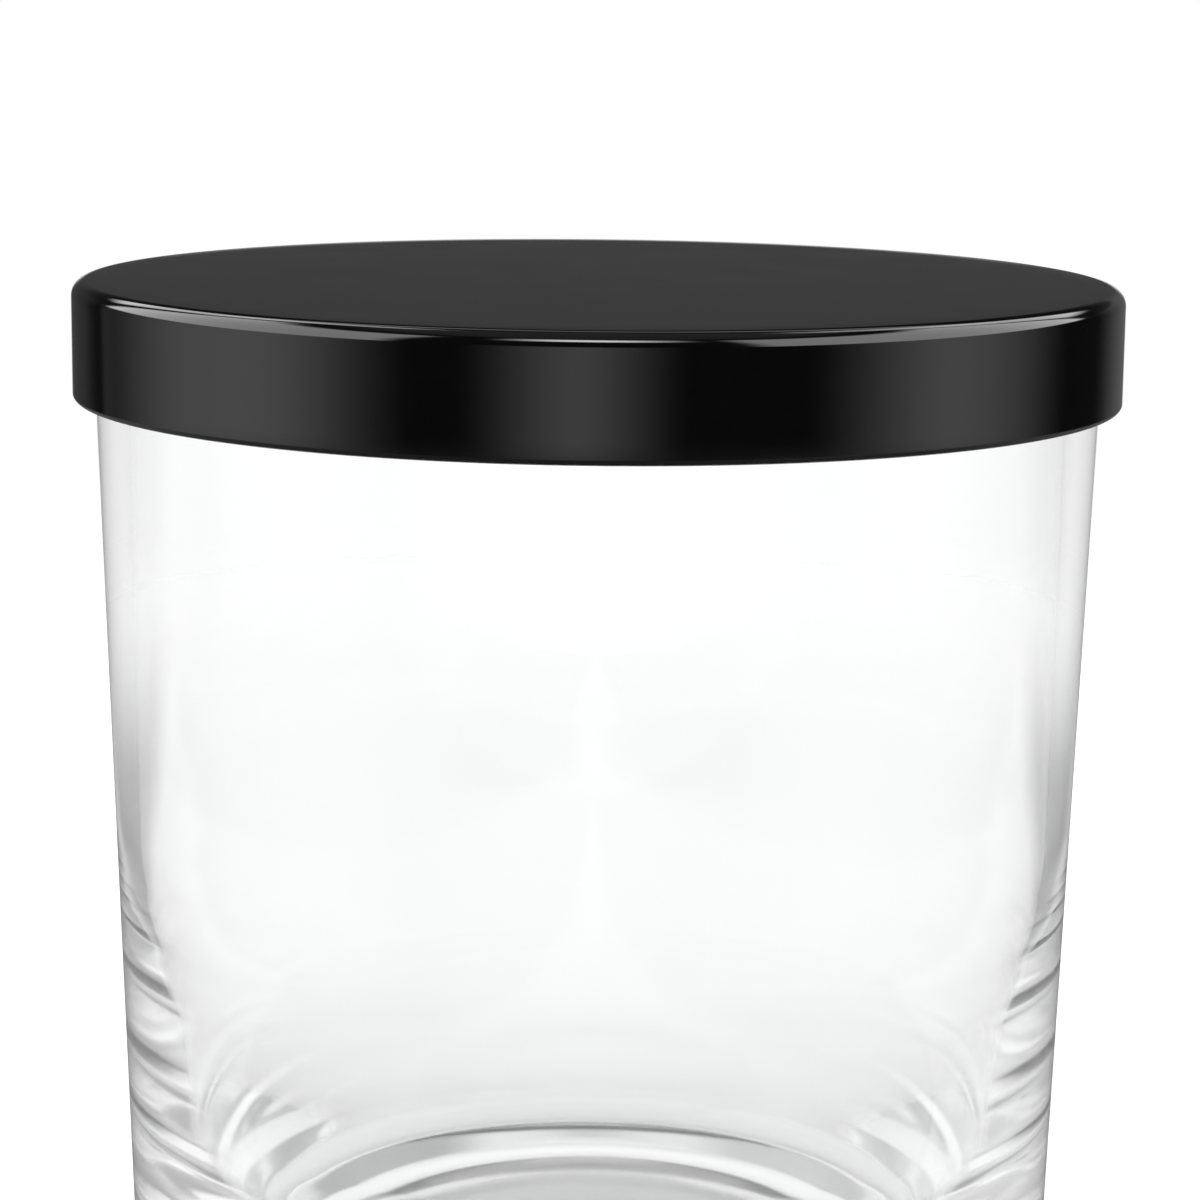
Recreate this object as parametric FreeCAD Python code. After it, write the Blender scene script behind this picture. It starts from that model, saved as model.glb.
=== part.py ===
"""Lidded glass jar: a tapered tumbler of clear glass, a drawn steel lid and the soft ring that seals it.

Millimetres, +Z up, origin on the resting plane at the centre of the base.
Every piece is a solid of revolution about Z, so each is drawn as one closed half section, radius then height.
"""

import FreeCAD
import Part
import math
import os

# glass jar
JAR_HEIGHT = 90.0
MOUTH_RADIUS = 40.0  # outside, at the rim
SIDE_TAPER = 2.95  # how much smaller the outside radius is at the base
MOUTH_WALL = 2.9
WAIST_WALL = 1.9  # the wall at its thinnest
WAIST_HEIGHT = 42.0  # where the wall starts to thicken towards the base
WAIST_BLEND_RADIUS = 70.0
LOWER_SLOPE = 7.85  # degrees that the inside leans inwards below the waist
FLOOR_THICKNESS = 7.5
INNER_CORNER_RADIUS = 20.0
HEEL_RADIUS = 3.0  # outer corner at the foot
FOOT_WIDTH = 4.0  # ring that the jar stands on
PUSH_UP = 1.2  # how far the middle of the base is raised
PUSH_UP_SLOPE_WIDTH = 4.0
PUSH_UP_RADIUS = 6.0
FOOT_EDGE_RADIUS = 0.6
RIM_FLAT = 0.1  # what fire polishing leaves flat between the two rounded edges

# lid shell
SHEET = 0.25
LID_HEIGHT = 9.25
LID_EDGE_RADIUS = 1.25
CURL_RADIUS = 0.45
CURL_SWEEP = 250.0  # degrees that the lower edge is rolled through

# seal ring
WEB_THICKNESS = 0.8  # between the rim and the lid
OUTER_LEG_THICKNESS = 0.5
PLUG_THICKNESS = 1.1
PLUG_DEPTH = 6.8  # below the rim
PLUG_LEAD_IN = 0.4
LIP_COUNT = 3
LIP_PITCH = 1.9
LIP_TOP_OFFSET = 1.0  # from the rim down to the root of the highest lip
LIP_REACH = 1.3
LIP_ROOT = 0.6
LIP_TIP = 0.3
LIP_RISE = 0.4  # how far a lip's tip stands above its root
SEAL_EDGE_RADIUS = 0.15

# clearances
CURL_TO_GLASS = 0.63  # from the widest glass, at the rim, to the inside of the curl
LIP_CLEARANCE = 0.12  # lip tip to the inside of the glass
SEAL_TO_SKIRT = 0.15
SEAL_TO_CURL = 0.3

# worked out from the sizes above
base_radius = MOUTH_RADIUS - SIDE_TAPER  # outside, where the wall carried down meets the resting plane
mouth_inner_radius = MOUTH_RADIUS - MOUTH_WALL
lid_radius = MOUTH_RADIUS + CURL_TO_GLASS + 2.0 * CURL_RADIUS
lid_underside = JAR_HEIGHT + WEB_THICKNESS
lid_top = lid_underside + SHEET
lid_bottom = lid_top - LID_HEIGHT


def outer_radius_at(height):
    """Radius of the outside of the glass."""
    return base_radius + SIDE_TAPER * height / JAR_HEIGHT


waist_inner_radius = outer_radius_at(WAIST_HEIGHT) - WAIST_WALL


def inner_radius_at(height):
    """Radius of the inside of the glass above the waist."""
    share = (height - WAIST_HEIGHT) / (JAR_HEIGHT - WAIST_HEIGHT)
    return waist_inner_radius + (mouth_inner_radius - waist_inner_radius) * share


def point(radius, height):
    return FreeCAD.Vector(radius, 0.0, height)


def line(start, end):
    return Part.LineSegment(start, end).toShape()


def arc_about(centre, radius, start_deg, end_deg):
    """Arc in the half section, its angles counted from outward (0) towards up (90)."""

    def at(degrees):
        angle = math.radians(degrees)
        return centre + FreeCAD.Vector(radius * math.cos(angle), 0.0, radius * math.sin(angle))

    return Part.Arc(at(start_deg), at((start_deg + end_deg) / 2.0), at(end_deg)).toShape()


def rounded_outline(corners):
    """Closed loop of edges through (radius, height, rounding) corners, each rounded by a tangent arc."""
    count = len(corners)
    places = [point(radius, height) for radius, height, _ in corners]
    entries, exits, arcs = [], [], []
    for i in range(count):
        before = (places[i - 1] - places[i]).normalize()
        after = (places[(i + 1) % count] - places[i]).normalize()
        rounding = corners[i][2]
        if rounding <= 0.0:
            entries.append(places[i])
            exits.append(places[i])
            arcs.append(None)
            continue
        half_turn = before.getAngle(after) / 2.0
        setback = rounding / math.tan(half_turn)
        entry = places[i] + before * setback
        leave = places[i] + after * setback
        bisector = (before + after).normalize()
        middle = places[i] + bisector * (rounding / math.sin(half_turn) - rounding)
        entries.append(entry)
        exits.append(leave)
        arcs.append(Part.Arc(entry, middle, leave).toShape())
    edges = []
    for i in range(count):
        if arcs[i] is not None:
            edges.append(arcs[i])
        edges.append(line(exits[i], entries[(i + 1) % count]))
    return edges


def revolve(edges):
    face = Part.Face(Part.Wire(edges))
    solid = face.revolve(FreeCAD.Vector(0, 0, 0), FreeCAD.Vector(0, 0, 1), 360.0)
    if solid.Volume < 0.0:
        solid.reverse()
    return solid


def glass_jar():
    """Tumbler with a thick floor, a rounded inner corner, a raised middle under the base and a polished rim."""
    rim_rounding = (MOUTH_WALL - RIM_FLAT) / 2.0
    foot_inner = base_radius - HEEL_RADIUS - FOOT_WIDTH
    lower_wall_lean = (WAIST_HEIGHT - FLOOR_THICKNESS) * math.tan(math.radians(LOWER_SLOPE))
    return revolve(
        rounded_outline(
            [
                (0.0, PUSH_UP, 0.0),
                (foot_inner - PUSH_UP_SLOPE_WIDTH, PUSH_UP, PUSH_UP_RADIUS),
                (foot_inner, 0.0, FOOT_EDGE_RADIUS),
                (base_radius, 0.0, HEEL_RADIUS),
                (MOUTH_RADIUS, JAR_HEIGHT, rim_rounding),
                (mouth_inner_radius, JAR_HEIGHT, rim_rounding),
                (waist_inner_radius, WAIST_HEIGHT, WAIST_BLEND_RADIUS),
                (waist_inner_radius - lower_wall_lean, FLOOR_THICKNESS, INNER_CORNER_RADIUS),
                (0.0, FLOOR_THICKNESS, 0.0),
            ]
        )
    )


def lid_shell():
    """Flat panel and skirt drawn from one sheet, with the skirt's lower edge rolled inwards into a hollow curl."""
    edge_centre = point(lid_radius - LID_EDGE_RADIUS, lid_top - LID_EDGE_RADIUS)
    curl_centre = point(lid_radius - CURL_RADIUS, lid_bottom + CURL_RADIUS)
    outside_edge = arc_about(edge_centre, LID_EDGE_RADIUS, 90.0, 0.0)
    inside_edge = arc_about(edge_centre, LID_EDGE_RADIUS - SHEET, 0.0, 90.0)
    outside_curl = arc_about(curl_centre, CURL_RADIUS, 0.0, -CURL_SWEEP)
    inside_curl = arc_about(curl_centre, CURL_RADIUS - SHEET, -CURL_SWEEP, 0.0)
    strokes = [outside_edge, outside_curl, inside_curl, inside_edge]
    edges = [line(point(0.0, lid_top), outside_edge.Vertexes[0].Point)]
    for stroke, following in zip(strokes, strokes[1:]):
        edges.append(stroke)
        edges.append(line(stroke.Vertexes[-1].Point, following.Vertexes[0].Point))
    edges.append(inside_edge)
    edges.append(line(inside_edge.Vertexes[-1].Point, point(0.0, lid_underside)))
    edges.append(line(point(0.0, lid_underside), point(0.0, lid_top)))
    return revolve(edges)


def lip_corners(plug_outer, root_height):
    """Corners of one flexible lip, from its lower root round the tip to its upper root."""
    tip_height = root_height + LIP_RISE
    tip_radius = min(plug_outer + LIP_REACH, inner_radius_at(tip_height - LIP_TIP) - LIP_CLEARANCE)
    tip_rounding = LIP_TIP * 0.3
    return [
        (plug_outer, root_height - LIP_ROOT, 0.0),
        (tip_radius, tip_height - LIP_TIP, tip_rounding),
        (tip_radius, tip_height, tip_rounding),
        (plug_outer, root_height, 0.0),
    ]


def seal_ring():
    """Soft ring over the rim: a web under the lid, a leg outside the glass, and a plug with lips inside it."""
    outer_leg_outer = lid_radius - SHEET - SEAL_TO_SKIRT
    outer_leg_inner = outer_leg_outer - OUTER_LEG_THICKNESS
    outer_leg_bottom = lid_bottom + 2.0 * CURL_RADIUS + SEAL_TO_CURL
    lowest_tip = JAR_HEIGHT - LIP_TOP_OFFSET - (LIP_COUNT - 1) * LIP_PITCH + LIP_RISE - LIP_TIP
    plug_outer = inner_radius_at(lowest_tip) - LIP_CLEARANCE - LIP_REACH
    plug_inner = plug_outer - PLUG_THICKNESS
    plug_bottom = JAR_HEIGHT - PLUG_DEPTH
    shoulder = LID_EDGE_RADIUS - SHEET + SEAL_TO_SKIRT
    corners = [
        (plug_inner, lid_underside, SEAL_EDGE_RADIUS),
        (plug_inner, plug_bottom, SEAL_EDGE_RADIUS),
        (plug_outer - PLUG_LEAD_IN, plug_bottom, SEAL_EDGE_RADIUS),
        (plug_outer, plug_bottom + PLUG_LEAD_IN, 0.0),
    ]
    for i in reversed(range(LIP_COUNT)):
        corners += lip_corners(plug_outer, JAR_HEIGHT - LIP_TOP_OFFSET - i * LIP_PITCH)
    corners += [
        (plug_outer, JAR_HEIGHT, SEAL_EDGE_RADIUS),
        (outer_leg_inner, JAR_HEIGHT, SEAL_EDGE_RADIUS),
        (outer_leg_inner, outer_leg_bottom, SEAL_EDGE_RADIUS),
        (outer_leg_outer, outer_leg_bottom, SEAL_EDGE_RADIUS),
        (outer_leg_outer, lid_underside, shoulder),
    ]
    return revolve(rounded_outline(corners))


NODES = {"glass_jar": glass_jar, "lid_shell": lid_shell, "seal_ring": seal_ring}

os.makedirs("parts", exist_ok=True)
for name, make in NODES.items():
    shape = make()
    if not shape.isValid() or len(shape.Solids) != 1:
        raise ValueError(name + " is not one valid solid")
    shape.exportStep("parts/" + name + ".step")
    box = shape.optimalBoundingBox()
    print(name, "volume", round(shape.Volume, 1), "z", round(box.ZMin, 2), round(box.ZMax, 2), "r", round(box.XMax, 2))
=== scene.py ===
"""Looks for the lidded glass jar: clear tumbler, black lacquered steel lid and silicone seal ring.

The scene is in metres and in the CAD model's frame: +Z up along the jar's axis, the front towards -Y.
Outlines of the turned pieces are drawn in millimetres, as (radius, height) points.
"""

import math

import bmesh
import bpy
from mathutils import Matrix, Vector


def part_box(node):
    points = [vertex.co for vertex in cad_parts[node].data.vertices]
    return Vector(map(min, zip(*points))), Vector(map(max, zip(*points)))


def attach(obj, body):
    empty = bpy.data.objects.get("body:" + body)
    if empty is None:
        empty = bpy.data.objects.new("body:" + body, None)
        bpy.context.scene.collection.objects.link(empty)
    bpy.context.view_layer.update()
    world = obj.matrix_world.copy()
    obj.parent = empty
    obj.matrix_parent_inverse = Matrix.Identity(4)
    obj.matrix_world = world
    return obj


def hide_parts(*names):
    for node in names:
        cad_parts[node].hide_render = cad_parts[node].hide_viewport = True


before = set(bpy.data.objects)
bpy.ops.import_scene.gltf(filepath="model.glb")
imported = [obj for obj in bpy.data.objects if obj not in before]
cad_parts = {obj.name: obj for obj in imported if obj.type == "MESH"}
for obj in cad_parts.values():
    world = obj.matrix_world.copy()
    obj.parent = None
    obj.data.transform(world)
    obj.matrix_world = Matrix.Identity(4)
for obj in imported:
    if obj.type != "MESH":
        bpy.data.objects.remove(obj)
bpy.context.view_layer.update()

MM = 0.001

# how finely the turned pieces are divided
TURN_STEPS = 256
ARC_STEP_DEG = 7.0
GLASS_STEP = 2.0  # longest straight step of the outline
LID_STEP = 2.5
ON_AXIS = 1e-6  # a point with a smaller radius is a pole

# places taken from the frame
_, jar_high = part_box("glass_jar")
lid_low, lid_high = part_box("lid_shell")
rim_height = jar_high[2] / MM
mouth_radius = jar_high[0] / MM
lid_radius = lid_high[0] / MM
lid_top = lid_high[2] / MM
lid_bottom = lid_low[2] / MM

# glass
SIDE_TAPER = 2.95
MOUTH_WALL = 2.9
WAIST_WALL = 1.9
WAIST_HEIGHT = 42.0
WAIST_BLEND_RADIUS = 70.0
LOWER_SLOPE = 7.85  # degrees
FLOOR_THICKNESS = 7.5
INNER_CORNER_RADIUS = 20.0
HEEL_RADIUS = 3.0
FOOT_WIDTH = 4.0
PUSH_UP = 1.2
PUSH_UP_SLOPE_WIDTH = 4.0
PUSH_UP_RADIUS = 6.0
FOOT_EDGE_RADIUS = 0.6
RIM_FLAT = 0.1

# lid
SHEET = 0.25
LID_EDGE_RADIUS = 1.25
CURL_RADIUS = 0.45
CURL_SWEEP = 250.0  # degrees

# the jar's box is measured across the rounded rim, a little inside the corner that its wall runs up to
rim_rounding = (MOUTH_WALL - RIM_FLAT) / 2.0
side_lean = math.atan(SIDE_TAPER / rim_height)
mouth_radius_at_rim = mouth_radius + rim_rounding * (math.tan(side_lean) + 1.0 / math.cos(side_lean) - 1.0)

# camera: how the picture was taken
FOCAL_LENGTH = 105.0
SENSOR = 36.0
CAMERA_DISTANCE = 6.702  # lid radii in front of the axis
CAMERA_RISE = 0.5894  # lid radii above the lid
CAMERA_SIDE = 0.0089  # lid radii to the right
CAMERA_PITCH = 10.28  # degrees down
CAMERA_ROLL = 0.625  # degrees

# studio as mirrors see it, in degrees: azimuth is 0 at the front and grows to the right
# a panel's four angles are where it starts to rise, is full, starts to fall and is gone
LOW = (-70, -60, 10, 13)
SOFTBOX = (10, 13, 50, 56)
REAR_LIGHT = (20, 26, 60, 66)
PANELS = [  # azimuths, elevations, strength
    ((-30, 0, -8, 20), (-60, -50, 8, 14), 1.15),
    ((-30, -6, 0, 30), (42, 48, 54, 60), 14.0),
    ((-135, -131, -50, -42), SOFTBOX, 3.6),
    ((31, 39, 127, 131), SOFTBOX, 3.6),
    ((-128, -78, -75, -38), LOW, 1.23),
    ((-134.5, -131, -100, -90), LOW, 0.09),
    ((43, 80, 76, 120), LOW, 1.1),
    ((-158, -154, -144, -141), REAR_LIGHT, 3.0),
    ((132, 135, 148, 152), REAR_LIGHT, 3.0),
    ((132, 156, 160, 172), LOW, 0.09),
]
BACKDROPS = [  # (gone, full) angles away from the front, (gone, full) elevations, strength
    ((134, 148), [(20, 9)], 0.06),
    ((164, 172), [(3.5, 1.0)], 0.7),
    ((120, 150), [(38, 42), (52, 47)], 0.9),
]
UNLIT_LEVEL = 0.012
OVERHEAD_PANEL = (58, 68)  # elevations where it begins and is full
OVERHEAD_STRENGTH = 0.22

# studio as rays through glass see it: pale, dimmer at the sides and a little dimmer overhead
THROUGH_LEVEL = 1.09
LEFT_DIMMING = 0.33
EXTRA_RIGHT_DIMMING = 0.22
OVERHEAD_DIMMING = 0.15
SIDE_EDGES = ((148, 122), (32, 58))  # angles away from the front
RIGHT_EDGE = (-10, 10)  # azimuths
OVERHEAD_EDGE = (12, 40)  # elevations

# table top
TABLE_REACH = 0.55  # from the axis to the middle of each side
TABLE_DROP = 0.0002  # below the resting plane
TABLE_FADE = (0.55, 0.98)  # shares of the reach where the top starts to fade and is gone
PALE = (0.86, 0.86, 0.86)
DARK = (0.15, 0.15, 0.15)
CAMERA_GLOW = 0.5
INDIRECT_GLOW = 0.25  # to rays through glass

# Dark zones of the table at both sides of the jar, seen by every ray but the camera's own.
# Known fault, not to be copied: they widen from a point at the picture camera's
# distance, so they are shade laid out for one view.
ZONE_APEX = 0.28  # in front of the axis
ZONE_SPREAD = (0.21, 0.27)  # sideways share of the distance from the apex where a zone begins and is full
ZONE_DEPTH = 0.75
ZONE_FADE = (0.28, 0.46)  # distances from the axis where a zone starts to fade and is gone

LIGHT_BOUNCES = 64  # light is caught in a thick glass wall for many reflections before it leaves


# ---------------------------------------------------------------- outlines


def corner_arc(before, corner, after, rounding):
    """Points of the tangent arc that rounds a corner of an outline."""
    before, corner, after = Vector(before), Vector(corner), Vector(after)
    back = (before - corner).normalized()
    forward = (after - corner).normalized()
    half = back.angle(forward) / 2.0
    setback = rounding / math.tan(half)
    centre = corner + (back + forward).normalized() * (rounding / math.sin(half))
    start = corner + back * setback - centre
    turn = math.pi - 2.0 * half
    if back.x * forward.y - back.y * forward.x > 0.0:
        turn = -turn
    steps = max(2, math.ceil(math.degrees(abs(turn)) / ARC_STEP_DEG))
    points = []
    for i in range(steps + 1):
        angle = turn * i / steps
        c, s = math.cos(angle), math.sin(angle)
        points.append((centre.x + start.x * c - start.y * s, centre.y + start.x * s + start.y * c))
    return points


def outline(corners):
    """Open polyline through (radius, height, rounding) corners; the first and last are on the axis."""
    points = [corners[0][:2]]
    for before, corner, after in zip(corners, corners[1:], corners[2:]):
        if corner[2] > 0.0:
            points += corner_arc(before[:2], corner[:2], after[:2], corner[2])
        else:
            points.append(corner[:2])
    points.append(corners[-1][:2])
    return points


def arc_points(centre, radius, start_deg, end_deg):
    """Points of an arc, its angles counted from outward (0) towards up (90)."""
    steps = max(4, math.ceil(abs(end_deg - start_deg) / ARC_STEP_DEG))
    points = []
    for i in range(steps + 1):
        angle = math.radians(start_deg + (end_deg - start_deg) * i / steps)
        points.append((centre[0] + radius * math.cos(angle), centre[1] + radius * math.sin(angle)))
    return points


def subdivided(points, longest):
    """The polyline with its straight runs cut so that none is longer than asked."""
    result = [points[0]]
    for start, end in zip(points, points[1:]):
        cuts = max(1, math.ceil(math.dist(start, end) / longest))
        for i in range(1, cuts + 1):
            t = i / cuts
            result.append((start[0] + (end[0] - start[0]) * t, start[1] + (end[1] - start[1]) * t))
    return result


# ---------------------------------------------------------------- turned meshes


def turned(name, points):
    """Smooth-shaded mesh of an open outline turned about Z, whose first and last points are on the axis.

    Its faces come in rounds of TURN_STEPS, one round for each step of the outline.
    """
    mesh = bpy.data.meshes.new(name)
    bm = bmesh.new()
    rings = []
    for radius, height in points:
        if radius < ON_AXIS:
            rings.append([bm.verts.new((0.0, 0.0, height * MM))])
            continue
        ring = []
        for i in range(TURN_STEPS):
            angle = 2.0 * math.pi * i / TURN_STEPS
            x, y = radius * math.cos(angle), radius * math.sin(angle)
            ring.append(bm.verts.new((x * MM, y * MM, height * MM)))
        rings.append(ring)
    for lower, upper in zip(rings, rings[1:]):
        for i in range(TURN_STEPS):
            j = (i + 1) % TURN_STEPS
            if len(lower) == 1:
                bm.faces.new((lower[0], upper[j], upper[i]))
            elif len(upper) == 1:
                bm.faces.new((lower[i], lower[j], upper[0]))
            else:
                bm.faces.new((lower[i], lower[j], upper[j], upper[i]))
    bmesh.ops.recalc_face_normals(bm, faces=bm.faces)
    bm.to_mesh(mesh)
    bm.free()
    mesh.polygons.foreach_set("use_smooth", [True] * len(mesh.polygons))
    piece = bpy.data.objects.new(name, mesh)
    bpy.context.collection.objects.link(piece)
    return piece


# ---------------------------------------------------------------- node helpers


def new_material(name):
    material = bpy.data.materials.new(name)
    material.use_nodes = True
    return material, material.node_tree, material.node_tree.nodes["Principled BSDF"]


def feed(tree, socket, value):
    """Sets a socket to a number, or links another node's output to it."""
    if isinstance(value, (int, float)):
        socket.default_value = value
    else:
        tree.links.new(value, socket)


def math_node(tree, operation, *operands, clamp=False):
    node = tree.nodes.new("ShaderNodeMath")
    node.operation = operation
    node.use_clamp = clamp
    for socket, value in zip(node.inputs, operands):
        feed(tree, socket, value)
    return node.outputs[0]


def product(tree, first, *others):
    for other in others:
        first = math_node(tree, "MULTIPLY", first, other)
    return first


def coordinates(tree, kind):
    """X, Y and Z of one kind of texture coordinate."""
    where = tree.nodes.new("ShaderNodeTexCoord")
    split = tree.nodes.new("ShaderNodeSeparateXYZ")
    tree.links.new(where.outputs[kind], split.inputs[0])
    return split.outputs


def object_noise(tree, scale, detail=3.0, stretch=(1.0, 1.0, 1.0)):
    """Noise in the piece's own coordinates; scale is in features per metre."""
    where = tree.nodes.new("ShaderNodeTexCoord")
    mapping = tree.nodes.new("ShaderNodeMapping")
    mapping.inputs["Scale"].default_value = stretch
    noise = tree.nodes.new("ShaderNodeTexNoise")
    noise.inputs["Scale"].default_value = scale
    noise.inputs["Detail"].default_value = detail
    tree.links.new(where.outputs["Object"], mapping.inputs["Vector"])
    tree.links.new(mapping.outputs["Vector"], noise.inputs["Vector"])
    return noise.outputs["Fac"]


def mapped(tree, value, low, high, start=0.3, end=0.7):
    """low where the value is at start, high where it is at end, clamped outside; the defaults suit noise."""
    node = tree.nodes.new("ShaderNodeMapRange")
    node.inputs["From Min"].default_value = start
    node.inputs["From Max"].default_value = end
    node.inputs["To Min"].default_value = low
    node.inputs["To Max"].default_value = high
    tree.links.new(value, node.inputs["Value"])
    return node.outputs["Result"]


def ramp(tree, value, gone, full):
    """0 on one side, 1 on the other and smooth between; gone may be above or below full."""
    node = tree.nodes.new("ShaderNodeMapRange")
    node.interpolation_type = "SMOOTHSTEP"
    falling = gone > full
    node.inputs["From Min"].default_value = min(gone, full)
    node.inputs["From Max"].default_value = max(gone, full)
    node.inputs["To Min"].default_value = 1.0 if falling else 0.0
    node.inputs["To Max"].default_value = 0.0 if falling else 1.0
    tree.links.new(value, node.inputs["Value"])
    return node.outputs["Result"]


def chosen(tree, flag, if_true, if_false):
    node = tree.nodes.new("ShaderNodeMix")
    feed(tree, node.inputs["A"], if_false)
    feed(tree, node.inputs["B"], if_true)
    tree.links.new(flag, node.inputs["Factor"])
    return node.outputs["Result"]


def blended_colour(tree, value, low, high):
    node = tree.nodes.new("ShaderNodeMix")
    node.data_type = "RGBA"
    node.inputs["A"].default_value = (*low, 1.0)
    node.inputs["B"].default_value = (*high, 1.0)
    tree.links.new(value, node.inputs["Factor"])
    return node.outputs["Result"]


def bumped(tree, shader, value, height):
    node = tree.nodes.new("ShaderNodeBump")
    node.inputs["Strength"].default_value = 1.0
    node.inputs["Distance"].default_value = height
    tree.links.new(value, node.inputs["Height"])
    tree.links.new(node.outputs["Normal"], shader.inputs["Normal"])


# ---------------------------------------------------------------- materials


def clear_glass():
    """Clear glass with faint wipe marks, rougher towards the foot to soften the stripes of the thick base."""
    material, tree, shader = new_material("clear_glass")
    shader.inputs["Transmission Weight"].default_value = 1.0
    shader.inputs["IOR"].default_value = 1.51
    wipe = mapped(tree, object_noise(tree, scale=60.0, detail=4.0), low=0.0, high=0.012, start=0.45, end=0.75)
    _, _, height = coordinates(tree, "Object")
    foot_roughness = mapped(tree, height, low=0.055, high=0.0, start=0.015, end=0.05)
    tree.links.new(math_node(tree, "ADD", wipe, foot_roughness), shader.inputs["Roughness"])
    tint = blended_colour(tree, object_noise(tree, scale=25.0), (0.985, 0.99, 0.988), (0.995, 0.998, 0.997))
    tree.links.new(tint, shader.inputs["Base Color"])
    waviness = object_noise(tree, scale=90.0, detail=1.0, stretch=(1.0, 1.0, 0.4))
    bumped(tree, shader, waviness, height=0.00002)
    return material


def black_lacquer():
    material, tree, shader = new_material("black_lacquer")
    shader.inputs["IOR"].default_value = 1.5
    mottle = object_noise(tree, scale=900.0, detail=2.0)
    tint = blended_colour(tree, mottle, (0.0018, 0.0018, 0.0018), (0.0032, 0.0031, 0.0030))
    tree.links.new(tint, shader.inputs["Base Color"])
    haze = mapped(tree, object_noise(tree, scale=140.0, detail=4.0), low=0.05, high=0.085)
    tree.links.new(haze, shader.inputs["Roughness"])
    bumped(tree, shader, object_noise(tree, scale=420.0, detail=2.0), height=0.000002)
    return material


def bright_tinplate():
    """Bare inside of the lid's sheet, with the fine lines of rolling."""
    material, tree, shader = new_material("bright_tinplate")
    shader.inputs["Metallic"].default_value = 1.0
    tint = blended_colour(tree, object_noise(tree, scale=120.0), (0.62, 0.62, 0.61), (0.74, 0.74, 0.73))
    tree.links.new(tint, shader.inputs["Base Color"])
    rolled = object_noise(tree, scale=900.0, detail=2.0, stretch=(1.0, 0.02, 1.0))
    tree.links.new(mapped(tree, rolled, low=0.25, high=0.4), shader.inputs["Roughness"])
    bumped(tree, shader, rolled, height=0.000004)
    return material


def silicone():
    material, tree, shader = new_material("silicone")
    shader.inputs["IOR"].default_value = 1.41
    shader.inputs["Transmission Weight"].default_value = 0.35
    shader.inputs["Subsurface Weight"].default_value = 0.4
    shader.inputs["Subsurface Radius"].default_value = (0.004, 0.004, 0.0038)
    shader.inputs["Subsurface Scale"].default_value = 0.5
    tint = blended_colour(tree, object_noise(tree, scale=300.0), (0.78, 0.79, 0.78), (0.86, 0.87, 0.86))
    tree.links.new(tint, shader.inputs["Base Color"])
    satin = mapped(tree, object_noise(tree, scale=2500.0), low=0.38, high=0.55)
    tree.links.new(satin, shader.inputs["Roughness"])
    bumped(tree, shader, object_noise(tree, scale=3000.0, detail=2.0), height=0.00001)
    return material


# ---------------------------------------------------------------- pieces


def outer_radius(height):
    return mouth_radius_at_rim - SIDE_TAPER * (1.0 - height / rim_height)


def glass_tumbler():
    mouth_inner = mouth_radius_at_rim - MOUTH_WALL
    waist_inner = outer_radius(WAIST_HEIGHT) - WAIST_WALL
    lower_wall_lean = (WAIST_HEIGHT - FLOOR_THICKNESS) * math.tan(math.radians(LOWER_SLOPE))
    base_radius = outer_radius(0.0)
    foot_inner = base_radius - HEEL_RADIUS - FOOT_WIDTH
    corners = [
        (0.0, PUSH_UP, 0.0),
        (foot_inner - PUSH_UP_SLOPE_WIDTH, PUSH_UP, PUSH_UP_RADIUS),
        (foot_inner, 0.0, FOOT_EDGE_RADIUS),
        (base_radius, 0.0, HEEL_RADIUS),
        (mouth_radius_at_rim, rim_height, rim_rounding),
        (mouth_inner, rim_height, rim_rounding),
        (waist_inner, WAIST_HEIGHT, WAIST_BLEND_RADIUS),
        (waist_inner - lower_wall_lean, FLOOR_THICKNESS, INNER_CORNER_RADIUS),
        (0.0, FLOOR_THICKNESS, 0.0),
    ]
    piece = turned("glass_tumbler", subdivided(outline(corners), GLASS_STEP))
    piece.data.materials.append(clear_glass())
    return piece


def lacquered_lid():
    """Lid shell, lacquered outside and round its curl, bare tinplate inside."""
    edge_centre = (lid_radius - LID_EDGE_RADIUS, lid_top - LID_EDGE_RADIUS)
    curl_centre = (lid_radius - CURL_RADIUS, lid_bottom + CURL_RADIUS)
    outside = [(0.0, lid_top)]
    outside += arc_points(edge_centre, LID_EDGE_RADIUS, 90.0, 0.0)
    outside += arc_points(curl_centre, CURL_RADIUS, 0.0, -CURL_SWEEP)
    inside = arc_points(curl_centre, CURL_RADIUS - SHEET, -CURL_SWEEP, 0.0)
    inside += arc_points(edge_centre, LID_EDGE_RADIUS - SHEET, 0.0, 90.0)
    inside.append((0.0, lid_top - SHEET))
    outside = subdivided(outside, LID_STEP)
    inside = subdivided(inside, LID_STEP)
    piece = turned("lacquered_lid", outside + inside)
    piece.data.materials.append(black_lacquer())
    piece.data.materials.append(bright_tinplate())
    for face in piece.data.polygons:
        face.material_index = 1 if face.index // TURN_STEPS >= len(outside) else 0
    return piece


# ---------------------------------------------------------------- stage, light and camera


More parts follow.
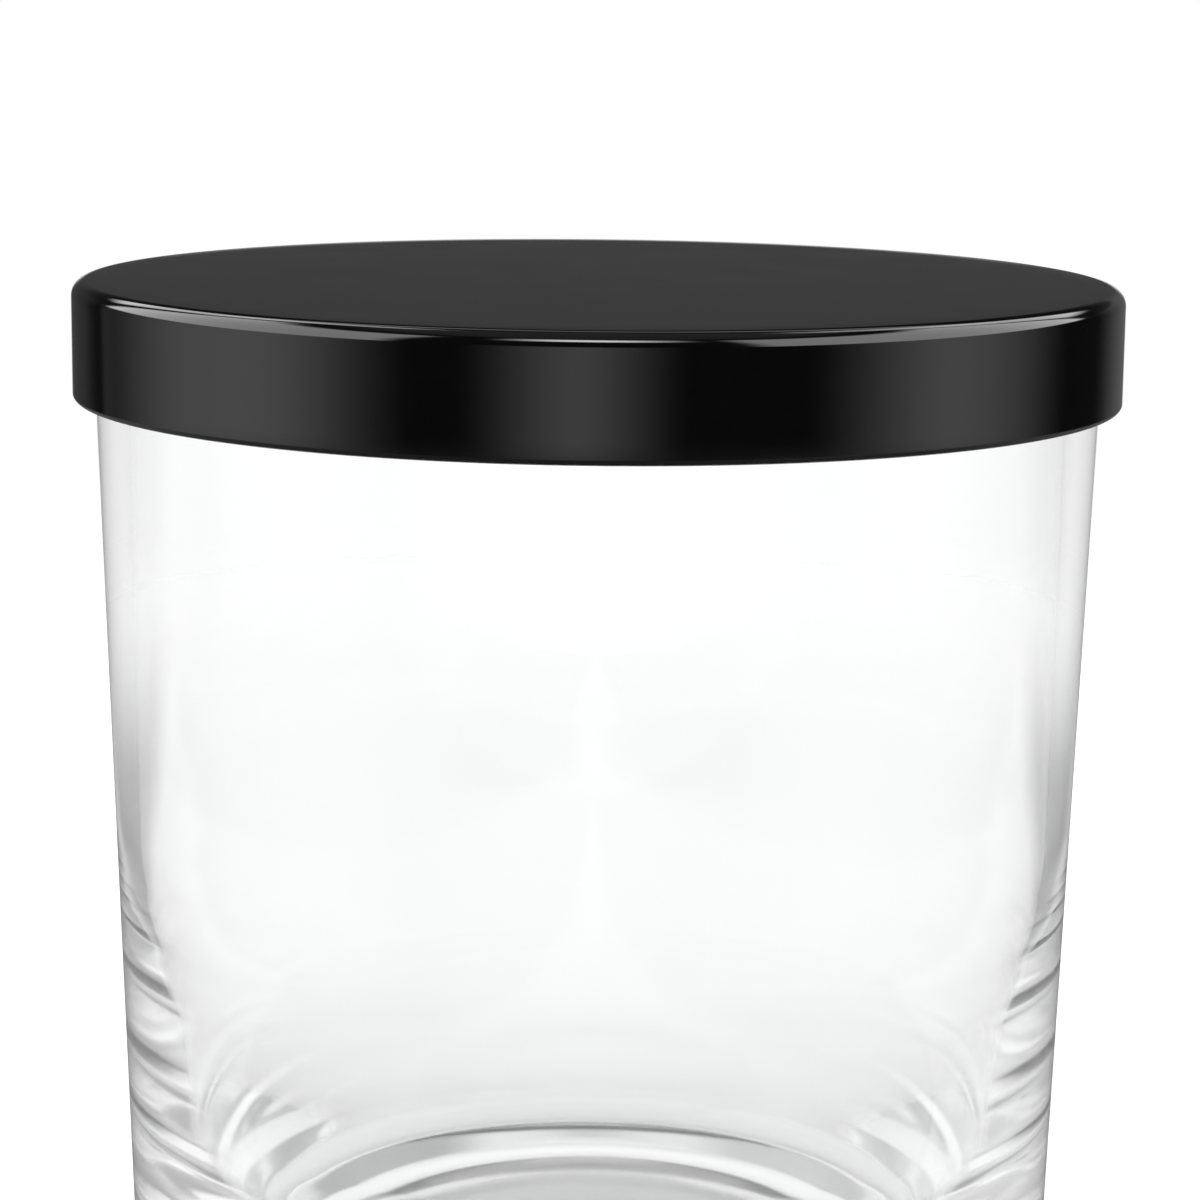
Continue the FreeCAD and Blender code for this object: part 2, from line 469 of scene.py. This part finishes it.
def mirror_light(tree, azimuth, elevation, away):
    """Brightness of the studio for mirror reflections: soft-edged panels on a nearly black ground."""
    level = UNLIT_LEVEL
    for azimuths, elevations, strength in PANELS:
        panel = product(
            tree,
            ramp(tree, azimuth, azimuths[0], azimuths[1]),
            ramp(tree, azimuth, azimuths[3], azimuths[2]),
            ramp(tree, elevation, elevations[0], elevations[1]),
            ramp(tree, elevation, elevations[3], elevations[2]),
            strength,
        )
        level = math_node(tree, "ADD", panel, level)
    for edge, elevation_edges, strength in BACKDROPS:
        backdrop = math_node(tree, "MULTIPLY", ramp(tree, away, *edge), strength)
        for elevation_edge in elevation_edges:
            backdrop = math_node(tree, "MULTIPLY", backdrop, ramp(tree, elevation, *elevation_edge))
        level = math_node(tree, "ADD", backdrop, level)
    overhead = math_node(tree, "MULTIPLY", ramp(tree, elevation, *OVERHEAD_PANEL), OVERHEAD_STRENGTH)
    return math_node(tree, "ADD", overhead, level)


def light_through_glass(tree, azimuth, elevation, away):
    """Brightness of the studio for rays that pass through glass."""
    side = product(tree, *(ramp(tree, away, *edge) for edge in SIDE_EDGES))
    rightness = ramp(tree, azimuth, *RIGHT_EDGE)
    side_dimming = math_node(tree, "MULTIPLY_ADD", rightness, EXTRA_RIGHT_DIMMING, LEFT_DIMMING)
    level = math_node(tree, "SUBTRACT", THROUGH_LEVEL, product(tree, side, side_dimming))
    overhead = math_node(tree, "MULTIPLY", ramp(tree, elevation, *OVERHEAD_EDGE), OVERHEAD_DIMMING)
    return product(tree, level, math_node(tree, "SUBTRACT", 1.0, overhead))


def world_light():
    """Studio seen by direction: white to the camera, with other brightnesses in mirrors and through glass."""
    world = bpy.data.worlds.new("studio")
    bpy.context.scene.world = world
    world.use_nodes = True
    tree = world.node_tree
    tree.nodes.clear()
    x, y, z = coordinates(tree, "Generated")
    turn = math_node(tree, "ARCTAN2", x, math_node(tree, "MULTIPLY", y, -1.0))
    azimuth = math_node(tree, "MULTIPLY", turn, math.degrees(1.0))
    elevation = math_node(tree, "MULTIPLY", math_node(tree, "ARCSINE", z), math.degrees(1.0))
    away = math_node(tree, "ABSOLUTE", azimuth)
    mirrored = mirror_light(tree, azimuth, elevation, away)
    through = light_through_glass(tree, azimuth, elevation, away)
    path = tree.nodes.new("ShaderNodeLightPath")
    level = chosen(tree, path.outputs["Is Glossy Ray"], mirrored, 1.0)
    level = chosen(tree, path.outputs["Is Transmission Ray"], through, level)
    level = chosen(tree, path.outputs["Is Camera Ray"], 1.0, level)
    background = tree.nodes.new("ShaderNodeBackground")
    background.inputs["Color"].default_value = (1.0, 1.0, 1.0, 1.0)
    output = tree.nodes.new("ShaderNodeOutputWorld")
    tree.links.new(level, background.inputs["Strength"])
    tree.links.new(background.outputs[0], output.inputs["Surface"])


def pale_table():
    """Matt material that glows to the camera, glows less through glass and is dark in mirrors."""
    material, tree, shader = new_material("pale_table")
    shader.inputs["Roughness"].default_value = 0.5
    shader.inputs["Emission Color"].default_value = (1.0, 1.0, 1.0, 1.0)

    where = tree.nodes.new("ShaderNodeTexCoord")
    length = tree.nodes.new("ShaderNodeVectorMath")
    length.operation = "LENGTH"
    tree.links.new(where.outputs["Object"], length.inputs[0])
    distance = length.outputs["Value"]
    fade_start, fade_end = (TABLE_REACH * share for share in TABLE_FADE)
    tree.links.new(mapped(tree, distance, 1.0, 0.0, fade_start, fade_end), shader.inputs["Alpha"])

    path = tree.nodes.new("ShaderNodeLightPath")
    camera = path.outputs["Is Camera Ray"]
    indirect = math_node(tree, "SUBTRACT", 1.0, camera)
    mirrored = math_node(
        tree, "SUBTRACT", path.outputs["Is Glossy Ray"], path.outputs["Is Transmission Ray"], clamp=True
    )
    x, y, _ = coordinates(tree, "Object")
    ahead = math_node(tree, "ADD", y, ZONE_APEX)
    spread = math_node(tree, "DIVIDE", math_node(tree, "ABSOLUTE", x), ahead)
    sideways = mapped(tree, spread, 0.0, ZONE_DEPTH, *ZONE_SPREAD)
    nearby = mapped(tree, distance, 1.0, 0.0, *ZONE_FADE)
    dim = math_node(tree, "ADD", mirrored, product(tree, sideways, nearby, indirect), clamp=True)
    tree.links.new(blended_colour(tree, dim, PALE, DARK), shader.inputs["Base Color"])
    glow = mapped(tree, camera, INDIRECT_GLOW, CAMERA_GLOW, start=0.0, end=1.0)
    undimmed = math_node(tree, "SUBTRACT", 1.0, dim)
    tree.links.new(product(tree, glow, undimmed), shader.inputs["Emission Strength"])
    return material


def table_top():
    """Square sheet whose material fades out with distance from the axis, so that its edge isn't seen."""
    mesh = bpy.data.meshes.new("table_top")
    bm = bmesh.new()
    bmesh.ops.create_grid(bm, x_segments=24, y_segments=24, size=TABLE_REACH)
    bm.to_mesh(mesh)
    bm.free()
    table = bpy.data.objects.new("table_top", mesh)
    table.location = (0.0, 0.0, -TABLE_DROP)
    bpy.context.collection.objects.link(table)
    table.data.materials.append(pale_table())


def picture_camera():
    data = bpy.data.cameras.new("picture")
    data.lens = FOCAL_LENGTH
    data.sensor_width = SENSOR
    data.clip_start = 0.01
    data.clip_end = 20.0
    camera = bpy.data.objects.new("picture", data)
    radius = lid_radius * MM
    camera.location = (CAMERA_SIDE * radius, -CAMERA_DISTANCE * radius, lid_top * MM + CAMERA_RISE * radius)
    camera.rotation_mode = "XYZ"
    tilt = math.radians(90.0 - CAMERA_PITCH)
    turn = Matrix.Rotation(tilt, 4, "X") @ Matrix.Rotation(math.radians(CAMERA_ROLL), 4, "Z")
    camera.rotation_euler = turn.to_euler("XYZ")
    bpy.context.collection.objects.link(camera)
    bpy.context.scene.camera = camera


def light_settings():
    bpy.context.scene.view_settings.view_transform = "Standard"
    cycles = bpy.context.scene.cycles
    cycles.max_bounces = LIGHT_BOUNCES
    cycles.transmission_bounces = LIGHT_BOUNCES
    cycles.glossy_bounces = LIGHT_BOUNCES


# ---------------------------------------------------------------- making

tumbler = glass_tumbler()
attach(tumbler, "jar")
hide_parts("glass_jar")

lid = lacquered_lid()
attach(lid, "lid")
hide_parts("lid_shell")

seal_material = silicone()
for material_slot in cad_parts["seal_ring"].material_slots:
    material_slot.material = seal_material

world_light()
table_top()
picture_camera()
light_settings()
